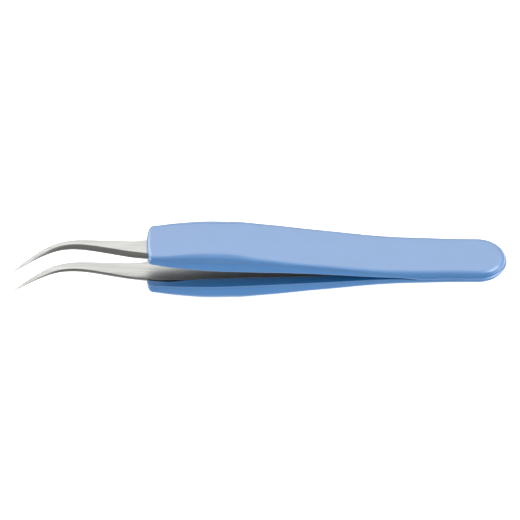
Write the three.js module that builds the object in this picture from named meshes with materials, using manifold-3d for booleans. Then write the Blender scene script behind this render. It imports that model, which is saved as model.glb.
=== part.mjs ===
// Precision tweezers with fine curved tips and soft half-shell grips, in millimetres.
//
// Two spring-steel arms are joined at the tail by a welded spacer and spread apart towards the tips.
// Each arm carries a moulded grip: a shell over its outer face and both edges, with a channel that
// the steel lies in, so the steel shows between the two arms. Behind the flexure, where the arms
// bend, each arm and each grip is a fixed piece (tang, heel); in front of it each is a moving one.
//
// Drawing frame: X runs from the tips to the tail, Y across the arms, Z through both arms, with the
// plane between them at z = 0. The tips curve towards -Y. The finished group is moved so that the
// centre of its bounding box lies over the origin and its lowest face at z = 0.
import * as THREE from "three";
import { mergeVertices } from "three/addons/utils/BufferGeometryUtils.js";
import Module from "manifold-3d";

const wasm = await Module();
wasm.setup();

// Lengths along X, measured from the tip.
const TAIL_X = 130;
const STEEL_END_X = 126;
const FLEX_X = 100;
const SHOULDER_X = 42;
const MOUTH_X = 34.9;
const WELD_FRONT_X = 111;
const WELD_BACK_X = 123;

// Clearances and small features.
const FLEX_GAP = 0.3;
const CHANNEL_GAP = 0.3;
const CHANNEL_CORNER = 0.5;
const CHANNEL_OPEN_Z = -1;
const TANG_Z = 0.25;
const WELD_WIDTH = 6.4;
const RIM_FILLET = 0.3;
const MOUTH_CORNER = 0.9;
const MOUTH_LIP = 1;
const TAIL_ROUND = 7.8;
const TAIL_EDGE_ROUND = 2.2;
const STEEL_END_ROUND = 4;
const STEEL_EDGE = 0.22;

// Share of a thin section that an eased edge or a corner may take up, and share of the grip's height
// that is left at the very tail.
const EDGE_SHARE = 0.3;
const CORNER_SHARE = 0.8;
const TAIL_EDGE_SHARE = 0.35;

// The outer faces of both grips are flat here, where the finger and thumb press.
const PAD_FRONT_X = 50;
const PAD_BACK_X = 57;
const PAD_Z = 8.45;

// Steel arm in front of the shoulder, by distance along its centreline from the shoulder: heading in
// degrees, width, thickness, and the shares of these where the side bevels begin.
const REACH = 45.2;
const ARM_HEADING = law([
  [0, 0], [3.5, 5.2], [6, 5.6], [9, -0.3], [12.5, -6.8], [20, -7], [23, -4.5], [26, 2],
  [29.5, 14], [33, 28.5], [36, 35.6], [40, 39.8], [REACH, 42],
]);
const ARM_WIDTH = law([
  [0, 8.25], [3.5, 8.1], [5.5, 7.2], [7, 6.4], [9, 5.85], [14.6, 4.7], [21, 3.5], [27.5, 2.65],
  [34.5, 1.9], [38, 1.42], [41.5, 0.95], [REACH, 0.2],
]);
const ARM_THICKNESS = law([
  [0, 1.7], [8, 1.75], [14.6, 1.8], [21, 1.75], [26, 1.7], [30, 1.5], [35, 1.1], [40, 0.6],
  [REACH, 0.12],
]);
const ARM_OUTER_SHARE = law([
  [0, 0.9], [7, 0.76], [10, 0.67], [14.6, 0.65], [21, 0.56], [26, 0.5], [32, 0.48], [REACH, 0.5],
]);
const ARM_SIDE_SHARE = law([[0, 0.5], [8, 0.36], [20, 0.38], [30, 0.5], [REACH, 0.5]]);

// Steel arm behind the shoulder, by X.
const HANDLE_WIDTH = law([[SHOULDER_X, 8.25], [65, 8.3], [90, 8.6], [110, 8.6], [STEEL_END_X, 8.4]]);
const HANDLE_THICKNESS = law([[SHOULDER_X, 1.7], [60, 1.5], [90, 1.2], [STEEL_END_X, 1.05]]);
const HANDLE_OUTER_SHARE = 0.9;
const HANDLE_SIDE_SHARE = 0.5;

// Height of the arm's inner face above the plane between the arms, by X.
const STEEL_Z = law([
  [0, 3.7], [30, 3.78], [42, 3.72], [50, 3.42], [60, 2.9], [75, 2.1], [88, 1.2], [96, 0.6],
  [104, 0.29], [110, TANG_Z], [TAIL_X, TANG_Z],
]);

// Grip shell, by X: height of its inner rim and its outer face, half its width, and the radius
// that joins the outer face to the sides.
const RIM_Z = law([
  [MOUTH_X, 4.2], [40, 3.8], [46, 3.45], [60, 2.75], [75, 2.0], [86, 1.25], [93, 0.68],
  [99, 0.33], [107, 0.17], [TAIL_X, 0.15],
]);
const OUTER_Z = law([
  [MOUTH_X, 7.05], [40, 7.45], [45, 8.1], [PAD_FRONT_X, PAD_Z], [PAD_BACK_X, PAD_Z], [60, 8],
  [64, 7.35], [69, 6.6], [76, 5.5], [84, 4.5], [88, 3.95], [96, 2.95], [104, 2.45], [TAIL_X, 2.2],
]);
const GRIP_HALF_WIDTH = law([
  [MOUTH_X, 6.1], [40, 6.6], [46, 7.05], [54, 7.4], [62, 7.3], [74, 7.05], [90, 6.9], [104, 6.85],
  [116, 6.6], [TAIL_X, 6.6],
]);
const CORNER_RADIUS = law([
  [MOUTH_X, 1.1], [40, 1.45], [47, 2.2], [55, 2.55], [62, 1.85], [74, 1.15], [94, 1.3],
  [104, 1.45], [TAIL_X, 1.45],
]);

// Extra room on one side of the channel behind the mouth, where the arm swells towards its shoulder.
const CHANNEL_RELIEF = law([[MOUTH_X, 0], [38, 0.25], [41, 0.6], [44, 0.25], [47, 0], [TAIL_X, 0]]);

// How finely the shapes are divided: steps along the straight and curved stretches, steps round the
// grip's corner, places along the grip, and shares of each rounded end's length.
const BLADE_STEPS = 14;
const CURVE_STEPS = 36;
const TANG_STEPS = 6;
const CORNER_STEPS = 5;
const BULGE_PLACES = [37, 39, 41, 43, 45, 47.5, PAD_FRONT_X, PAD_BACK_X, 58.5, 60];
const TAPER_PLACES = [62, 64, 66.5, 69, 72, 76, 80, 84, 88, 92, 96];
const HEEL_PLACES = [104, 108, 112, 117];
const MOUTH_SHARES = [0.01, 0.07, 0.2, 0.45, 1];
const STEEL_END_SHARES = [0.3, 0.55, 0.75, 0.9, 0.98];
const TAIL_SHARES = [0.25, 0.45, 0.62, 0.76, 0.86, 0.93, 0.975, 0.997];

// The channel is cut this far past a shell's open ends, and stops this much before the place behind
// the steel where its own width runs out.
const CUT_OVERRUN = 1;
const CUT_TRIM = 0.02;

const MERGE_DISTANCE = 1e-4;

const STEEL = new THREE.MeshStandardMaterial({ color: 0xc4c4c0, roughness: 0.38, metalness: 1 });
const WELD = new THREE.MeshStandardMaterial({ color: 0x94948f, roughness: 0.55, metalness: 1 });
const GRIP = new THREE.MeshStandardMaterial({ color: 0x86abdb, roughness: 0.6, metalness: 0 });

// A smooth value through knots [position, value], with no overshoot between them (monotone cubic).
function law(knots) {
  const slopes = knots.slice(1).map(([x, y], i) => (y - knots[i][1]) / (x - knots[i][0]));
  const tangents = knots.map((_, i) => {
    if (i === 0 || i === knots.length - 1) return 0;
    const [before, after] = [slopes[i - 1], slopes[i]];
    return before * after > 0 ? (2 * before * after) / (before + after) : 0;
  });
  return (x) => {
    if (x <= knots[0][0]) return knots[0][1];
    if (x >= knots.at(-1)[0]) return knots.at(-1)[1];
    const i = knots.findIndex(([end]) => x < end) - 1;
    const span = knots[i + 1][0] - knots[i][0];
    const t = (x - knots[i][0]) / span;
    const h = t * t * (3 - 2 * t);
    return (
      knots[i][1] * (1 - h) +
      knots[i + 1][1] * h +
      span * (tangents[i] * t * (1 - t) ** 2 - tangents[i + 1] * t * t * (1 - t))
    );
  };
}

function spaced(from, to, count) {
  return Array.from({ length: count + 1 }, (_, i) => from + ((to - from) * i) / count);
}

// Places over an end's rounded stretch, at the given shares of its length.
function roundedEnd(end, round, shares) {
  return shares.map((share) => end - round * (1 - share));
}

// A closed solid through rings of points that all have the same count, each ring convex.
function loft(rings) {
  const count = rings[0].length;
  const last = rings.length - 1;
  const triangles = [];
  for (let r = 0; r < last; r++) {
    for (let i = 0; i < count; i++) {
      const j = (i + 1) % count;
      const [a, b, c, d] = [rings[r][i], rings[r][j], rings[r + 1][j], rings[r + 1][i]];
      triangles.push([a, b, c], [a, c, d]);
    }
  }
  for (let i = 1; i < count - 1; i++) {
    triangles.push([rings[0][0], rings[0][i + 1], rings[0][i]]);
    triangles.push([rings[last][0], rings[last][i], rings[last][i + 1]]);
  }
  const volume = triangles.reduce((sum, [a, b, c]) => sum + a.dot(b.clone().cross(c)), 0);
  const facing = volume < 0 ? ([a, b, c]) => [a, c, b] : (t) => t;
  return new THREE.BufferGeometry().setFromPoints(triangles.flatMap(facing));
}

function toSolid(geometry) {
  const merged = mergeVertices(geometry, MERGE_DISTANCE);
  return new wasm.Manifold(
    new wasm.Mesh({
      numProp: 3,
      vertProperties: merged.attributes.position.array,
      triVerts: new Uint32Array(merged.index.array),
    }),
  );
}

function toGeometry(solid) {
  const mesh = solid.getMesh();
  return new THREE.BufferGeometry()
    .setAttribute("position", new THREE.BufferAttribute(mesh.vertProperties, 3))
    .setIndex(new THREE.BufferAttribute(mesh.triVerts, 1));
}

// How far a convex end of length `round` has grown at `depth` behind its end: 0 there, then 1.
function swell(depth, round) {
  const rest = Math.max(0, 1 - depth / round);
  return Math.sqrt(1 - rest * rest);
}

// Points on the arm's centreline, from the shoulder to the tip, with the heading at each.
function curvedCentreline(steps) {
  const step = REACH / steps;
  const points = [];
  let [x, y] = [SHOULDER_X, 0];
  for (let i = 0; i <= steps; i++) {
    const along = i * step;
    points.push({ along, x, y, heading: THREE.MathUtils.degToRad(ARM_HEADING(along)) });
    const middle = THREE.MathUtils.degToRad(ARM_HEADING(along + step / 2));
    x -= Math.cos(middle) * step;
    y -= Math.sin(middle) * step;
  }
  return points;
}

// Corners of the arm's section: a flat inner face with eased edges, upright sides, and bevels to a
// narrower outer face.
function armRing({ x, y, heading, width, thickness, outerShare, sideShare, side }) {
  const across = new THREE.Vector3(-Math.sin(heading), Math.cos(heading), 0);
  const inner = STEEL_Z(x);
  const half = width / 2;
  const edge = Math.min(STEEL_EDGE, half * EDGE_SHARE, thickness * EDGE_SHARE);
  const right = [
    [half - edge, 0],
    [half, edge],
    [half, thickness * sideShare],
    [half * outerShare, thickness],
  ];
  const left = [...right].reverse().map(([offset, rise]) => [-offset, rise]);
  const corners = [...right, ...left];
  return corners.map(([offset, rise]) =>
    new THREE.Vector3(x, y, side * (inner + rise)).addScaledVector(across, offset),
  );
}

function bladeRings(side) {
  const places = spaced(FLEX_X - FLEX_GAP / 2, SHOULDER_X, BLADE_STEPS).slice(0, -1);
  const handle = places.map((x) => handleSection(x, side));
  const curved = curvedCentreline(CURVE_STEPS).map(({ along, ...place }) => ({
    ...place,
    side,
    width: ARM_WIDTH(along),
    thickness: ARM_THICKNESS(along),
    outerShare: ARM_OUTER_SHARE(along),
    sideShare: ARM_SIDE_SHARE(along),
  }));
  return [...handle, ...curved].map(armRing);
}

function steelEndPlaces() {
  return roundedEnd(STEEL_END_X, STEEL_END_ROUND, STEEL_END_SHARES);
}

function tangRings(side) {
  const straight = spaced(FLEX_X + FLEX_GAP / 2, STEEL_END_X - STEEL_END_ROUND, TANG_STEPS);
  return [...straight, ...steelEndPlaces()].map((x) => {
    const section = handleSection(x, side);
    return armRing({ ...section, width: section.width * swell(STEEL_END_X - x, STEEL_END_ROUND) });
  });
}

function handleSection(x, side) {
  return {
    x,
    y: 0,
    heading: 0,
    side,
    width: HANDLE_WIDTH(x),
    thickness: HANDLE_THICKNESS(x),
    outerShare: HANDLE_OUTER_SHARE,
    sideShare: HANDLE_SIDE_SHARE,
  };
}

// The shell's outline at x: up one side from the rim, over the outer face and down the other side.
function gripRing(x, side) {
  const corner = MOUTH_CORNER * (1 - swell(x - MOUTH_X, MOUTH_CORNER));
  const lip = MOUTH_LIP * (1 - swell(x - MOUTH_X, MOUTH_LIP));
  const half = GRIP_HALF_WIDTH(x) * swell(TAIL_X - x, TAIL_ROUND) - corner;
  const rim = RIM_Z(x);
  const thinned = TAIL_EDGE_SHARE + (1 - TAIL_EDGE_SHARE) * swell(TAIL_X - x, TAIL_EDGE_ROUND);
  const top = rim + (OUTER_Z(x) - rim) * thinned - lip;
  const radius = Math.min(CORNER_RADIUS(x), half * CORNER_SHARE, (top - rim) * CORNER_SHARE);
  const arc = spaced(0, Math.PI / 2, CORNER_STEPS).map((angle) => [
    half - radius + radius * Math.cos(angle),
    top - radius + radius * Math.sin(angle),
  ]);
  const right = [[half - RIM_FILLET, rim], [half, rim + RIM_FILLET], ...arc];
  const left = [...right].reverse().map(([y, z]) => [-y, z]);
  return [...right, ...left].map(([y, z]) => new THREE.Vector3(x, y, side * z));
}

// The channel follows the steel with a clearance, and stays open towards the other arm.
function channelRing(x, side) {
  const half = channelHalfWidth(x);
  const low = -half - CHANNEL_RELIEF(x);
  const floor = STEEL_Z(x) + HANDLE_THICKNESS(x) + CHANNEL_GAP;
  const outline = [
    [low, CHANNEL_OPEN_Z], [half, CHANNEL_OPEN_Z],
    [half, floor - CHANNEL_CORNER], [half - CHANNEL_CORNER, floor],
    [low + CHANNEL_CORNER, floor], [low, floor - CHANNEL_CORNER],
  ];
  return outline.map(([y, z]) => new THREE.Vector3(x, y, side * z));
}

// The channel keeps its width in front of the shoulder, where the steel narrows, and closes round the
// steel's rounded end.
function channelHalfWidth(x) {
  const end = swell(STEEL_END_X + CHANNEL_GAP - x, STEEL_END_ROUND + CHANNEL_GAP);
  return (HANDLE_WIDTH(x) / 2) * end + CHANNEL_GAP;
}

// A grip's shell along the given places. The channel starts just in front of it, and runs out of its
// back or stops just behind the end of the steel.
function shell(places, side) {
  const front = places[0] - CUT_OVERRUN;
  const back = Math.min(places.at(-1) + CUT_OVERRUN, STEEL_END_X + CHANNEL_GAP) - CUT_TRIM;
  const between = [...places, ...steelEndPlaces()].filter((x) => x > front && x < back);
  const cuts = [front, ...between, back].sort((a, b) => a - b);
  const outer = loft(places.map((x) => gripRing(x, side)));
  const channel = loft(cuts.map((x) => channelRing(x, side)));
  return toGeometry(toSolid(outer).subtract(toSolid(channel)));
}

function gripPlaces() {
  const mouth = MOUTH_SHARES.map((share) => MOUTH_X + MOUTH_CORNER * share);
  return [...mouth, ...BULGE_PLACES, ...TAPER_PLACES, FLEX_X - FLEX_GAP / 2];
}

function heelPlaces() {
  const front = [FLEX_X + FLEX_GAP / 2, ...HEEL_PLACES, TAIL_X - TAIL_ROUND];
  return [...front, ...roundedEnd(TAIL_X, TAIL_ROUND, TAIL_SHARES)];
}

function weld() {
  const spacer = new THREE.BoxGeometry(WELD_BACK_X - WELD_FRONT_X, WELD_WIDTH, 2 * TANG_Z);
  return spacer.translate((WELD_FRONT_X + WELD_BACK_X) / 2, 0, 0);
}

const tweezers = new THREE.Group();

function add(name, geometry, material) {
  const mesh = new THREE.Mesh(geometry, material);
  mesh.name = name;
  tweezers.add(mesh);
}

for (const [place, side] of [["upper", 1], ["lower", -1]]) {
  add(`${place}_arm_blade`, loft(bladeRings(side)), STEEL);
  add(`${place}_arm_tang`, loft(tangRings(side)), STEEL);
  add(`${place}_grip`, shell(gripPlaces(), side), GRIP);
  add(`${place}_grip_heel`, shell(heelPlaces(), side), GRIP);
}
add("tail_weld", weld(), WELD);

const box = new THREE.Box3().setFromObject(tweezers);
const middle = box.getCenter(new THREE.Vector3());
tweezers.position.set(-middle.x, -middle.y, -box.min.z);

export default tweezers;
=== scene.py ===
"""Looks of the precision tweezers: two brushed steel arms with curved needle tips, in moulded grips.

Each arm and each grip is one piece here, as on the real tool. It stands for the two CAD nodes that
meet at the flexure, and bends between them. Sizes are millimetres in the CAD's drawing frame: X
runs from the tips to the tail, Y across the arms, and z = 0 is the plane between the arms. `place`
turns that into metres in the part's own frame.
"""

import math
from types import SimpleNamespace

import bmesh
import bpy
import numpy as np
from mathutils import Matrix, Vector


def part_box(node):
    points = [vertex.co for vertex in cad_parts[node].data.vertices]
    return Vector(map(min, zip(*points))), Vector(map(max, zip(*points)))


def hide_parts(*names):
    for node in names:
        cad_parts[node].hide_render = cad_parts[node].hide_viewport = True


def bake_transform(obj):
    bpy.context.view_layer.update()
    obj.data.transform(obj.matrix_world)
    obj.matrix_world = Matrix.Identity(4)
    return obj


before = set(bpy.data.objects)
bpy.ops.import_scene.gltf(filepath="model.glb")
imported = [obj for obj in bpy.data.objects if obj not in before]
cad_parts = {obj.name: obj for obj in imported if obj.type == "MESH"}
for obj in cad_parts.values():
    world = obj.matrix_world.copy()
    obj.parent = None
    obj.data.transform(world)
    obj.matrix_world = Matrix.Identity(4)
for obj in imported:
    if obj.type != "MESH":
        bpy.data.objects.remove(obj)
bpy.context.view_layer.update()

MM = 0.001

# Lengths along X, from the tips. The ledge round the grip's rim stands a little past the CAD's tail.
CAD_LENGTH = 130
TAIL_X = 130.2
STEEL_END_X = 126
SHOULDER_X = 42
MOUTH_X = 34.9

# Rounds and small features of the grip. Beside the channel the rim keeps a flat of RIM_FLAT. The
# ledge grows out of the rim behind LEDGE_START_X and takes the place of most of the fillet. The
# channel follows the steel from CHANNEL_LEAD in front of the mouth, and closes behind its end.
RIM_FILLET = 0.6
RIM_FLAT = 0.2
MOUTH_CORNER = 0.9
MOUTH_LIP = 1.2
MOUTH_CROWN = 0.75
MOUTH_CROWN_REACH = 8
TAIL_ROUND = 7.8
TAIL_EDGE_REACH = 1.9
LEDGE = 0.32
LEDGE_HEIGHT = 0.2
LEDGE_START_X = 101
LEDGE_RUN_IN = 7
LEDGE_FILLET_LOSS = 0.9
FACE_CROWN = 0.15
CORNER_SHARE = 0.85
CHANNEL_CORNER = 0.35
CHANNEL_GAP = 0.06
CHANNEL_END_SHARE = 0.02
CHANNEL_LEAD = 2

# Edges and rounds of the steel. The shares are limits, of the half width and of an edge's length.
STEEL_EDGE = 0.22
STEEL_EDGE_SHARE = 0.3
STEEL_ROUND = 0.1
STEEL_SIDE_ROUND = 1.2
STEEL_ROUND_SHARE = 0.45
STEEL_END_ROUND = 4

# How finely the laws are averaged and the pieces divided.
LAW_STEPS = 9
LAW_TAPER = 0.9
ROUND_STEPS = 5
HANDLE_STEPS = 120
HANDLE_END_SHARES = (0.995, 0.95, 0.85, 0.7, 0.5, 0.25)
CURVE_STEPS = 150
MOUTH_STEPS = 12
BODY_STEPS = 190
BODY_GAP = 0.3
TAIL_STEPS = 40
TAIL_END_SHARES = (0.999, 0.9, 0.7, 0.4, 0.15, 0)
FILLET_STEPS = 7
SIDE_STEPS = 6
ARC_STEPS = 12
FACE_STEPS = 10
CHANNEL_CORNER_STEPS = 5

# Edges that turn by these angles or more stay crisp in the smooth shading. Points closer than
# MERGE_DISTANCE, in metres, become one, and TINY keeps an edge without length from dividing by 0.
STEEL_SHARP = math.radians(50)
GRIP_SHARP = math.radians(38)
MERGE_DISTANCE = 1e-7
TINY = 1e-9

# Surfaces. Colours are linear. Each surface varies between its two colours as a noise goes from
# NOISE_LOW to NOISE_HIGH.
STEEL_COLOURS = ((0.235, 0.235, 0.226), (0.32, 0.317, 0.307))
STEEL_ROUGHNESS = 0.31
WELD_COLOURS = ((0.36, 0.36, 0.35), (0.45, 0.45, 0.43))
WELD_ROUGHNESS = 0.5
STEEL_ROUGHNESS_SPREAD = 0.05
GRIP_COLOURS = ((0.004, 0.114, 0.318), (0.007, 0.127, 0.345))
GRIP_ROUGHNESS = (0.33, 0.41)
FLOOR_GREYS = (0.86, 0.89)
NOISE_LOW = 0.3
NOISE_HIGH = 0.7

# Floor and camera, in metres. The camera looks at a place given in the drawing's millimetres.
FLOOR_HALF = 6
AZIMUTH = math.radians(-2.2)
ELEVATION = math.radians(48)
ROLL = math.radians(0.25)
CAMERA_DISTANCE = 1.5
FRAME_WIDTH = 0.13744
SENSOR_MM = 36
CLIP_END = 10
TARGET_X_MM = 64.9
TARGET_DROP_MM = 0.12

# The surroundings' grey by height: 0 is straight down, 0.5 the horizon and 1 straight up.
TENT_GREYS = (
    (0.02, 1.2), (0.07, 0.9), (0.13, 0.46), (0.2, 0.38), (0.35, 0.5), (0.5, 0.36), (0.64, 0.45), (0.9, 0.5),
)

# Softboxes: name, direction from the object, distance, width, height, radiance, whether gloss
# mirrors it and whether it lights matt surfaces.
SOFTBOXES = (
    ("key", (0, 0.14, 0.99), 0.8, 1.7, 1.85, 0.8, True, True),
    ("sheen", (0, 0.53, 0.85), 0.9, 1.9, 0.94, 1.5, True, False),
    ("backdrop", (0, 1, 0.1), 0.8, 1.6, 0.5, 1.0, True, True),
    ("right_wall", (1, 0, 0.45), 0.7, 0.9, 0.6, 0.8, True, True),
    ("left_wall", (-1, 0, 0.45), 0.7, 0.9, 0.6, 0.8, True, True),
    ("right_strip", (0.96, 0.1, -0.22), 0.7, 1.4, 0.45, 2.3, True, True),
    ("left_strip", (-1, 0.1, -0.22), 0.7, 0.6, 0.35, 4.0, True, True),
    ("right_lamp", (0.68, -0.18, 0.71), 0.75, 0.5, 0.38, 4.8, True, False),
    ("left_lamp", (-0.74, 0.55, 0.35), 0.75, 0.4, 0.55, 3.0, True, False),
    ("fill", (0, -1, 0.02), 0.8, 1.2, 0.5, 3.7, False, True),
    ("back_fill", (0, 1, -0.1), 0.8, 1.2, 0.4, 1.5, False, True),
)

# Where the drawing's origin lies in the part's own frame.
TAIL_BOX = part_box("upper_grip_heel")
WELD_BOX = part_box("tail_weld")
ORIGIN = Vector((
    TAIL_BOX[1].x - CAD_LENGTH * MM,
    (WELD_BOX[0].y + WELD_BOX[1].y) / 2,
    (WELD_BOX[0].z + WELD_BOX[1].z) / 2,
))


def law(knots, soft=1.5):
    """A smooth value through knots (position, value): monotone cubic pieces, averaged over +-soft."""
    x = np.array([k[0] for k in knots], float)
    y = np.array([k[1] for k in knots], float)
    slope = np.diff(y) / np.diff(x)
    tangent = np.zeros(len(x))
    rising = slope[:-1] * slope[1:] > 0
    total = np.where(rising, slope[:-1] + slope[1:], 1)
    tangent[1:-1] = np.where(rising, 2 * slope[:-1] * slope[1:] / total, 0)
    offsets = np.linspace(-soft, soft, LAW_STEPS)
    weights = np.cos(np.linspace(-1, 1, LAW_STEPS) * math.pi / 2 * LAW_TAPER)
    weights /= weights.sum()

    def cubic(at):
        at = np.clip(at, x[0], x[-1])
        i = np.clip(np.searchsorted(x, at, side="right") - 1, 0, len(x) - 2)
        span = x[i + 1] - x[i]
        t = (at - x[i]) / span
        h = t * t * (3 - 2 * t)
        bow = tangent[i] * t * (1 - t) ** 2 - tangent[i + 1] * t * t * (1 - t)
        return y[i] * (1 - h) + y[i + 1] * h + span * bow

    def value(at):
        at = np.asarray(at, float)
        return sum(w * cubic(at + o) for w, o in zip(weights, offsets))

    return value


# Steel arm in front of the shoulder, by distance along its centreline from the shoulder.
REACH = 45.2
ARM_HEADING = law([
    (0, 0), (3.5, 5.2), (6, 5.6), (9, -0.3), (12.5, -6.8), (20, -7), (23, -4.5), (26, 2),
    (29.5, 14), (33, 28.5), (36, 35.6), (40, 39.8), (REACH, 42),
])
ARM_WIDTH = law([
    (0, 8.3), (3.5, 8.1), (5.5, 7.2), (7, 6.4), (9, 5.85), (14.6, 4.7), (21, 3.5), (27.5, 2.65),
    (34.5, 1.9), (38, 1.42), (41.5, 0.97), (REACH, 0.34),
], soft=0.6)
ARM_THICKNESS = law([
    (0, 1.7), (8, 1.75), (14.6, 1.8), (21, 1.75), (26, 1.7), (30, 1.5), (35, 1.1), (40, 0.62),
    (REACH, 0.2),
], soft=0.6)
ARM_OUTER_SHARE = law([
    (0, 0.9), (7, 0.76), (10, 0.67), (14.6, 0.65), (21, 0.56), (26, 0.5), (32, 0.48), (REACH, 0.5),
])
ARM_SIDE_SHARE = law([(0, 0.5), (8, 0.34), (20, 0.36), (30, 0.5), (REACH, 0.5)])

# Steel arm behind the shoulder, and the height of its inner face, by X.
HANDLE_WIDTH = law([(SHOULDER_X, 8.25), (65, 8.3), (90, 8.6), (110, 8.6), (STEEL_END_X, 8.4)])
HANDLE_THICKNESS = law([(SHOULDER_X, 1.7), (60, 1.5), (90, 1.2), (STEEL_END_X, 1.05)])
HANDLE_OUTER_SHARE = 0.9
HANDLE_SIDE_SHARE = 0.5
STEEL_Z = law([
    (0, 3.7), (30, 3.78), (42, 3.72), (50, 3.42), (60, 2.9), (75, 2.1), (88, 1.2), (96, 0.6),
    (104, 0.29), (110, 0.25), (TAIL_X, 0.25),
])

# Grip, by X: height of its rim and outer face, half its width, its corner radius, and the extra
# room beside the steel behind the mouth.
RIM_Z = law([
    (MOUTH_X, 4.2), (40, 3.8), (46, 3.45), (60, 2.75), (75, 2.0), (86, 1.25), (93, 0.68),
    (99, 0.34), (104, 0.16), (109, 0.03), (TAIL_X, 0.015),
])
OUTER_Z = law([
    (MOUTH_X, 7.05), (40, 7.45), (45, 8.1), (50, 8.5), (55, 8.45), (59, 8.2), (64, 7.35),
    (69, 6.6), (76, 5.5), (84, 4.5), (88, 3.95), (96, 2.95), (104, 2.45), (TAIL_X, 2.2),
], soft=3)
GRIP_HALF_WIDTH = law([
    (MOUTH_X, 6.1), (40, 6.6), (46, 7.05), (54, 7.4), (62, 7.3), (74, 7.05), (90, 6.9), (104, 6.85),
    (116, 6.6), (TAIL_X, 6.6),
])
CORNER_RADIUS = law([
    (MOUTH_X, 1.1), (40, 1.45), (47, 2.2), (55, 2.55), (62, 1.85), (74, 1.15), (94, 1.3), (104, 1.45),
    (TAIL_X, 1.45),
])
CHANNEL_RELIEF = law([(MOUTH_X, 0), (38, 0.12), (41.5, 0.5), (46, 0.1), (49, 0), (TAIL_X, 0)], soft=0.6)


def place(x, y, z):
    """Drawing millimetres to metres in the part's own frame."""
    return (ORIGIN.x + x * MM, ORIGIN.y + y * MM, ORIGIN.z + z * MM)


def swell(depth, round_):
    """How far a convex end has grown at a depth behind it: 0 at its end, 1 from round_ on."""
    rest = np.clip(1 - np.asarray(depth, float) / round_, 0, 1)
    return np.sqrt(1 - rest * rest)


def smooth_step(t):
    t = np.clip(t, 0, 1)
    return t * t * (3 - 2 * t)


def spaced(from_, to, count):
    return list(np.linspace(from_, to, count, endpoint=False))


def mesh_object(name, points, faces, sharp):
    """A smooth-shaded mesh, crisp along edges that turn by the sharp angle or more."""
    mesh = bpy.data.meshes.new(name)
    mesh.from_pydata([place(*p) for p in points], [], faces)
    bm = bmesh.new()
    bm.from_mesh(mesh)
    bmesh.ops.remove_doubles(bm, verts=bm.verts, dist=MERGE_DISTANCE)
    bmesh.ops.dissolve_degenerate(bm, edges=bm.edges, dist=MERGE_DISTANCE)
    bmesh.ops.recalc_face_normals(bm, faces=bm.faces)
    for face in bm.faces:
        face.smooth = True
    for edge in bm.edges:
        edge.smooth = len(edge.link_faces) == 2 and edge.calc_face_angle() < sharp
    bm.to_mesh(mesh)
    bm.free()
    obj = bpy.data.objects.new(name, mesh)
    bpy.context.scene.collection.objects.link(obj)
    return obj


def grid_faces(rows, columns, start=0, wrap=False):
    """Quads over rows x columns points numbered row by row; wrap joins the last column to the first."""
    across = columns if wrap else columns - 1
    return [
        (
            start + r * columns + c,
            start + r * columns + (c + 1) % columns,
            start + (r + 1) * columns + (c + 1) % columns,
            start + (r + 1) * columns + c,
        )
        for r in range(rows - 1)
        for c in range(across)
    ]


# Steel arms


def rounded(corners, radii):
    """A closed outline with each corner replaced by a short curve of its own radius."""
    out = []
    for i, (corner, radius) in enumerate(zip(corners, radii)):
        before, after = np.array(corners[i - 1]), np.array(corners[(i + 1) % len(corners)])
        corner = np.array(corner)
        to_before, to_after = before - corner, after - corner
        back, ahead = (
            min(radius, length * STEEL_ROUND_SHARE) / max(length, TINY)
            for length in (np.linalg.norm(to_before), np.linalg.norm(to_after))
        )
        first, last = corner + to_before * back, corner + to_after * ahead
        for t in np.linspace(0, 1, ROUND_STEPS):
            out.append(first * (1 - t) ** 2 + corner * 2 * t * (1 - t) + last * t ** 2)
    return out


def arm_section(width, thickness, outer_share, side_share):
    """Across the arm: a flat inner face, sides that bulge at side_share of the thickness, an outer face."""
    half = width / 2
    inset = min(STEEL_EDGE, half * STEEL_EDGE_SHARE)
    belly = thickness * side_share
    right = [(half - inset, 0), (half, belly), (half * outer_share, thickness)]
    radii = [STEEL_ROUND, STEEL_SIDE_ROUND, STEEL_ROUND]
    return rounded(right + [(-y, z) for y, z in reversed(right)], radii + radii[::-1])


def handle_stations():
    ends = [STEEL_END_X - STEEL_END_ROUND * (1 - t) for t in HANDLE_END_SHARES]
    x = np.array(ends + spaced(STEEL_END_X - STEEL_END_ROUND, SHOULDER_X, HANDLE_STEPS))
    width = HANDLE_WIDTH(x) * swell(STEEL_END_X - x, STEEL_END_ROUND)
    zero = np.zeros_like(x)
    outer_share, side_share = zero + HANDLE_OUTER_SHARE, zero + HANDLE_SIDE_SHARE
    return np.stack([x, zero, zero, width, HANDLE_THICKNESS(x), outer_share, side_share], axis=1)


def curved_stations():
    step = REACH / CURVE_STEPS
    along = np.arange(CURVE_STEPS + 1) * step
    middle = np.radians(ARM_HEADING(along[:-1] + step / 2))
    x = SHOULDER_X - np.concatenate([[0], np.cumsum(np.cos(middle) * step)])
    y = -np.concatenate([[0], np.cumsum(np.sin(middle) * step)])
    heading = np.radians(ARM_HEADING(along))
    laws = [f(along) for f in (ARM_WIDTH, ARM_THICKNESS, ARM_OUTER_SHARE, ARM_SIDE_SHARE)]
    return np.stack([x, y, heading, *laws], axis=1)


# Rows of x, y, heading, width, thickness, outer share and side share, from the tail end to the tip.
ARM = np.concatenate([handle_stations(), curved_stations()])


def steel_arm(name, side):
    points = []
    inner_z = STEEL_Z(ARM[:, 0])
    for (x, y, heading, width, thickness, outer_share, side_share), inner in zip(ARM, inner_z):
        across = (-math.sin(heading), math.cos(heading))
        for offset, rise in arm_section(width, thickness, outer_share, side_share):
            points.append((x + across[0] * offset, y + across[1] * offset, side * (inner + rise)))
    columns = len(points) // len(ARM)
    faces = grid_faces(len(ARM), columns, wrap=True)
    faces += [tuple(range(columns)), tuple(len(points) - 1 - i for i in range(columns))]
    return mesh_object(name, points, faces, STEEL_SHARP)


# Grips


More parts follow.
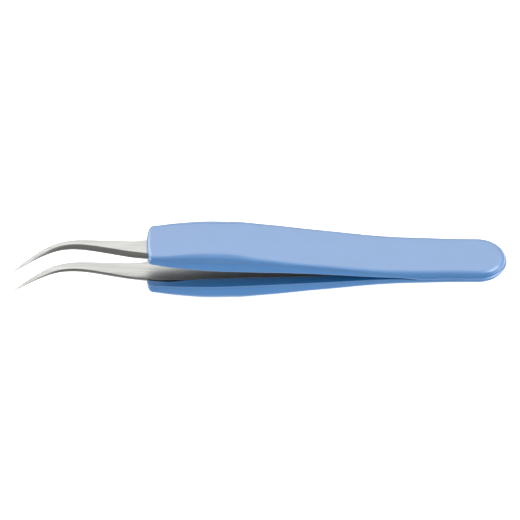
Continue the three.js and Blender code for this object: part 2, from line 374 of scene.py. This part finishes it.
def grip_places():
    mouth = [MOUTH_X + MOUTH_CORNER * (1 - math.cos(a)) for a in np.linspace(0, math.pi / 2, MOUTH_STEPS)]
    body = spaced(MOUTH_X + MOUTH_CORNER + BODY_GAP, TAIL_X - TAIL_ROUND, BODY_STEPS)
    turn = [math.sin(a) for a in np.linspace(0, math.pi / 2, TAIL_STEPS)]
    end = [TAIL_X - TAIL_ROUND + (TAIL_ROUND - LEDGE) * t for t in turn]
    last = [TAIL_X - LEDGE * t for t in TAIL_END_SHARES]
    return np.array(mouth + body + end + last)


def grip_stations():
    """The grip's sizes at each place along it, as one simple record each."""
    x = grip_places()
    ledge = LEDGE * smooth_step((x - LEDGE_START_X) / LEDGE_RUN_IN)
    full = GRIP_HALF_WIDTH(x)
    tail = np.clip((x - (TAIL_X - TAIL_ROUND)) / (TAIL_ROUND - LEDGE), 0, 1)
    outer_tail = np.clip((x - (TAIL_X - TAIL_ROUND)) / TAIL_ROUND, 0, 1)
    rim = RIM_Z(x)
    top = OUTER_Z(x) - MOUTH_LIP * (1 - swell(x - MOUTH_X, MOUTH_LIP))
    steel = ARM[ARM[:, 0] > MOUTH_X - CHANNEL_LEAD][::-1]
    round_end = np.maximum(swell(STEEL_END_X + CHANNEL_GAP - x, STEEL_END_ROUND), CHANNEL_END_SHARE)
    near = np.interp(x, steel[:, 0], steel[:, 3] / 2 - steel[:, 1]) * round_end
    far = np.interp(x, steel[:, 0], steel[:, 3] / 2 + steel[:, 1]) * round_end
    mouth_corner = MOUTH_CORNER * (1 - swell(x - MOUTH_X, MOUTH_CORNER))
    columns = {
        "x": x,
        "tail": tail,
        "full": full,
        "half": full * np.sqrt(1 - tail ** 2) - mouth_corner,
        "rim_half": (full + ledge) * np.sqrt(1 - outer_tail ** 2) - mouth_corner,
        "rim": rim,
        "top": top,
        "radius": np.minimum(CORNER_RADIUS(x), (top - rim) * CORNER_SHARE),
        "near": near + CHANNEL_GAP + CHANNEL_RELIEF(x),
        "far": far + CHANNEL_GAP,
        "floor": np.maximum(STEEL_Z(x) + HANDLE_THICKNESS(x) + CHANNEL_GAP, rim + CHANNEL_CORNER),
    }
    return [SimpleNamespace(**dict(zip(columns, map(float, row)))) for row in zip(*columns.values())]


def outer_half(at):
    """One half of the grip's outer outline, from its rim to the middle of its outer face."""
    half, radius = at.half, at.radius
    ledge = at.rim_half - half
    grown = min(ledge / LEDGE, 1)
    fillet = min(RIM_FILLET * (1 - LEDGE_FILLET_LOSS * grown), at.rim_half)
    step = LEDGE_HEIGHT * grown

    def inset(y):
        """Distance from the plan outline, also round the tail end, where the edge is broader."""
        if at.tail == 0:
            return half - y
        reach = math.hypot(at.tail, y / at.full)
        lengthways, sideways = at.tail / TAIL_ROUND, y / at.full ** 2
        steepness = math.hypot(lengthways, sideways)
        broad = 1 + (TAIL_EDGE_REACH - 1) * (lengthways / steepness) ** 2
        return max(0.0, (1 - reach) * reach / steepness / broad)

    def height(y):
        depth = min(radius, inset(y))
        return at.top - radius + math.sqrt(radius ** 2 - (radius - depth) ** 2)

    low, high = at.rim + fillet + step, at.top - radius
    out = [
        (at.rim_half - fillet * (1 - math.sin(a)), at.rim + fillet * (1 - math.cos(a)))
        for a in np.linspace(0, math.pi / 2, FILLET_STEPS)
    ]
    if at.tail == 1:
        high = low
    out += [(half, low + (high - low) * t) for t in np.linspace(0, 1, SIDE_STEPS, endpoint=False)]
    arc = min(radius, half)
    turn = np.linspace(0, math.pi / 2, ARC_STEPS, endpoint=False)
    face = [half - arc * (1 - math.cos(a)) for a in turn]
    face += [(half - arc) * (1 - t) for t in np.linspace(0, 1, FACE_STEPS + 1)]
    out += [(y, height(y) if at.tail < 1 else low) for y in face]
    rise = at.top - at.rim
    return [(y, z - FACE_CROWN * (y / at.full) ** 2 * (z - at.rim) / rise) for y, z in out]


def channel_half(at, edge, count):
    """One half of the channel's outline, from its rim to the middle of its floor."""
    edge = min(edge, at.half - RIM_FILLET - RIM_FLAT)
    if at.x > STEEL_END_X + CHANNEL_GAP or edge < CHANNEL_CORNER:
        return [(max(at.rim_half - RIM_FILLET, 0) * (1 - t), at.rim) for t in np.linspace(0, 1, count)]
    wall = [(edge, at.rim), (edge, (at.rim + at.floor - CHANNEL_CORNER) / 2)]
    wall += [
        (edge - CHANNEL_CORNER * (1 - math.cos(a)), at.floor - CHANNEL_CORNER * (1 - math.sin(a)))
        for a in np.linspace(0, math.pi / 2, CHANNEL_CORNER_STEPS)
    ]
    floor = np.linspace(0, 1, count - len(wall) + 1)[1:]
    return wall + [((edge - CHANNEL_CORNER) * (1 - t), at.floor) for t in floor]


def grip(name, side):
    """A shell between its outer outline and its channel, on the side of z that side (1 or -1) says."""
    stations = grip_stations()
    outer, inner = [], []
    for at in stations:
        half_outline = outer_half(at)
        outer.append([(-y, z) for y, z in half_outline] + half_outline[-2::-1])
        near_half = channel_half(at, at.near, len(half_outline))
        far_half = channel_half(at, at.far, len(half_outline))
        inner.append([(-y, z) for y, z in near_half] + far_half[-2::-1])
    columns = len(outer[0])

    def bowed(x, y):
        """The mouth's front is bowed forward in the middle."""
        fade = 1 - smooth_step((x - MOUTH_X) / MOUTH_CROWN_REACH)
        return x + MOUTH_CROWN * (y / stations[0].full) ** 2 * fade

    points = [
        (bowed(at.x, y), y, side * z)
        for rings in (outer, inner)
        for at, ring in zip(stations, rings)
        for y, z in ring
    ]
    rows = len(stations)
    second = rows * columns
    faces = grid_faces(rows, columns) + grid_faces(rows, columns, start=second)
    for c in (0, columns - 1):
        for r in range(rows - 1):
            here, beyond = r * columns + c, (r + 1) * columns + c
            faces.append((here, beyond, second + beyond, second + here))
    faces += [(c, c + 1, second + c + 1, second + c) for c in range(columns - 1)]
    return mesh_object(name, points, faces, GRIP_SHARP)


# Materials


def set_stops(ramp, stops):
    """Give a colour ramp its stops: a colour (r, g, b) or a grey value at each position."""
    elements = ramp.color_ramp.elements
    while len(elements) < len(stops):
        elements.new(0.5)
    for element, (position, colour) in zip(elements, stops):
        element.position = position
        rgb = colour if isinstance(colour, tuple) else (colour,) * 3
        element.color = (*rgb, 1)


class Nodes:
    """Short calls to build a material's node tree."""

    def __init__(self, name):
        self.material = bpy.data.materials.new(name)
        self.material.use_nodes = True
        self.tree = self.material.node_tree
        self.shader = self.tree.nodes["Principled BSDF"]
        self.coordinates = self.tree.nodes.new("ShaderNodeTexCoord").outputs["Object"]

    def set(self, **values):
        for name, value in values.items():
            self.shader.inputs[name.replace("_", " ")].default_value = value

    def link(self, source, socket_name):
        self.tree.links.new(source, self.shader.inputs[socket_name])

    def noise(self, period, detail=3, roughness=0.5):
        """Noise whose features are about period = (x, y, z) millimetres long."""
        mapping = self.tree.nodes.new("ShaderNodeMapping")
        mapping.inputs["Scale"].default_value = [1 / (p * MM) for p in period]
        self.tree.links.new(self.coordinates, mapping.inputs["Vector"])
        noise = self.tree.nodes.new("ShaderNodeTexNoise")
        noise.inputs["Scale"].default_value = 1
        noise.inputs["Detail"].default_value = detail
        noise.inputs["Roughness"].default_value = roughness
        self.tree.links.new(mapping.outputs["Vector"], noise.inputs["Vector"])
        return noise.outputs["Fac"]

    def between(self, noise, low, high):
        """A colour or grey value that goes from low to high over the noise's usual range."""
        ramp = self.tree.nodes.new("ShaderNodeValToRGB")
        set_stops(ramp, ((NOISE_LOW, low), (NOISE_HIGH, high)))
        self.tree.links.new(noise, ramp.inputs["Fac"])
        return ramp.outputs["Color"]

    def bump(self, source, height_mm, strength, below=None):
        bump = self.tree.nodes.new("ShaderNodeBump")
        bump.inputs["Strength"].default_value = strength
        bump.inputs["Distance"].default_value = height_mm * MM
        self.tree.links.new(source, bump.inputs["Height"])
        if below is not None:
            self.tree.links.new(below, bump.inputs["Normal"])
        return bump.outputs["Normal"]


def brushed_steel(name, colours, rough):
    """Steel with fine brushing along the arm and a few longer, fainter streaks."""
    n = Nodes(name)
    n.set(Metallic=1.0)
    streaks = n.noise(period=(14, 0.35, 0.35), detail=4, roughness=0.6)
    brushing = n.noise(period=(3, 0.06, 0.06), detail=2)
    n.link(n.between(streaks, *colours), "Base Color")
    spread = STEEL_ROUGHNESS_SPREAD
    n.link(n.between(streaks, rough + spread, rough - spread), "Roughness")
    lines = n.bump(streaks, height_mm=0.01, strength=0.4)
    n.link(n.bump(brushing, height_mm=0.004, strength=0.5, below=lines), "Normal")
    return n.material


def soft_grip(name):
    """Moulded elastomer: satin, with a fine matt grain, faint ripples and slight clouding."""
    n = Nodes(name)
    n.set(Specular_IOR_Level=1.0, Coat_Weight=1.0, Coat_Roughness=0.3)
    clouds = n.noise(period=(9, 5, 5), detail=3)
    grain = n.noise(period=(0.22, 0.22, 0.22), detail=2)
    ripple = n.noise(period=(6, 3, 3), detail=1)
    n.link(n.between(clouds, *GRIP_COLOURS), "Base Color")
    n.link(n.between(grain, *GRIP_ROUGHNESS), "Roughness")
    ripples = n.bump(ripple, height_mm=0.05, strength=0.25)
    n.link(n.bump(grain, height_mm=0.006, strength=0.35, below=ripples), "Normal")
    return n.material


def pale_floor(name):
    n = Nodes(name)
    n.set(Roughness=0.9, Specular_IOR_Level=0.1, Emission_Color=(1, 1, 1, 1), Emission_Strength=0.75)
    clouds = n.noise(period=(40, 40, 40), detail=4)
    n.link(n.between(clouds, *FLOOR_GREYS), "Base Color")
    return n.material


# Stage: floor, light and camera


def make_floor():
    """A plain pale floor that throws no light back, casts no shadow and isn't seen in reflections."""
    reach = FLOOR_HALF
    mesh = bpy.data.meshes.new("floor")
    corners = [(-reach, -reach, 0), (reach, -reach, 0), (reach, reach, 0), (-reach, reach, 0)]
    mesh.from_pydata(corners, [], [(0, 1, 2, 3)])
    floor = bpy.data.objects.new("floor", mesh)
    bpy.context.scene.collection.objects.link(floor)
    mesh.materials.append(pale_floor("floor_pale"))
    floor.visible_glossy = floor.visible_diffuse = floor.visible_shadow = False


def make_world():
    """Even grey surroundings, bright only straight below, as over a white table."""
    world = bpy.data.worlds.new("tent")
    bpy.context.scene.world = world
    world.use_nodes = True
    tree = world.node_tree
    background = tree.nodes["Background"]
    direction = tree.nodes.new("ShaderNodeTexCoord").outputs["Generated"]
    split = tree.nodes.new("ShaderNodeSeparateXYZ")
    rise = tree.nodes.new("ShaderNodeMapRange")
    ramp = tree.nodes.new("ShaderNodeValToRGB")
    rise.inputs["From Min"].default_value = -1
    tree.links.new(direction, split.inputs["Vector"])
    tree.links.new(split.outputs["Z"], rise.inputs["Value"])
    tree.links.new(rise.outputs["Result"], ramp.inputs["Fac"])
    set_stops(ramp, TENT_GREYS)
    tree.links.new(ramp.outputs["Color"], background.inputs["Color"])
    background.inputs["Strength"].default_value = 1.0


def softbox(name, direction, distance, width, height, radiance, glossy, diffuse):
    """A square-on rectangular light, as bright all over as the given radiance."""
    light = bpy.data.lights.new(name, "AREA")
    light.shape = "RECTANGLE"
    light.size, light.size_y = width, height
    light.energy = radiance * math.pi * width * height
    lamp = bpy.data.objects.new(name, light)
    towards = Vector(direction).normalized()
    lamp.location = towards * distance
    lamp.rotation_euler = towards.to_track_quat("Z", "Y").to_euler()
    lamp.visible_glossy = glossy
    lamp.visible_diffuse = diffuse
    bpy.context.scene.collection.objects.link(lamp)


def make_camera():
    """The view is square to the tweezers' length, which lies across the picture but for ROLL."""
    back = Vector((
        math.sin(AZIMUTH) * math.cos(ELEVATION),
        -math.cos(AZIMUTH) * math.cos(ELEVATION),
        math.sin(ELEVATION),
    ))
    length = Vector((1, 0, 0))
    level = (length - length.dot(back) * back).normalized()
    upright = back.cross(level)
    right = level * math.cos(ROLL) + upright * math.sin(ROLL)
    up = upright * math.cos(ROLL) - level * math.sin(ROLL)
    target = Vector(place(TARGET_X_MM, 0, 0)) - up * TARGET_DROP_MM * MM
    data = bpy.data.cameras.new("camera")
    data.sensor_width = SENSOR_MM
    data.lens = SENSOR_MM * CAMERA_DISTANCE / FRAME_WIDTH
    data.clip_end = CLIP_END
    camera = bpy.data.objects.new("camera", data)
    bpy.context.scene.collection.objects.link(camera)
    camera.matrix_world = Matrix((right, up, back)).transposed().to_4x4()
    camera.location = target + back * CAMERA_DISTANCE
    bpy.context.scene.camera = camera


make_camera()
make_floor()
make_world()
for box in SOFTBOXES:
    softbox(*box)
bpy.context.scene.view_settings.view_transform = "Standard"

# The pieces

STEEL = brushed_steel("steel_brushed", STEEL_COLOURS, STEEL_ROUGHNESS)
WELD = brushed_steel("weld_dull", WELD_COLOURS, WELD_ROUGHNESS)
GRIP = soft_grip("grip_soft")

for half, side in (("upper", 1), ("lower", -1)):
    arm = steel_arm(f"{half}_spring_arm", side)
    arm.data.materials.append(STEEL)
    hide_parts(f"{half}_arm_blade", f"{half}_arm_tang")
    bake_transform(arm)
    shell = grip(f"{half}_moulded_grip", side)
    shell.data.materials.append(GRIP)
    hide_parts(f"{half}_grip", f"{half}_grip_heel")
    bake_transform(shell)

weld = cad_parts["tail_weld"]
weld.data.materials.clear()
weld.data.materials.append(WELD)
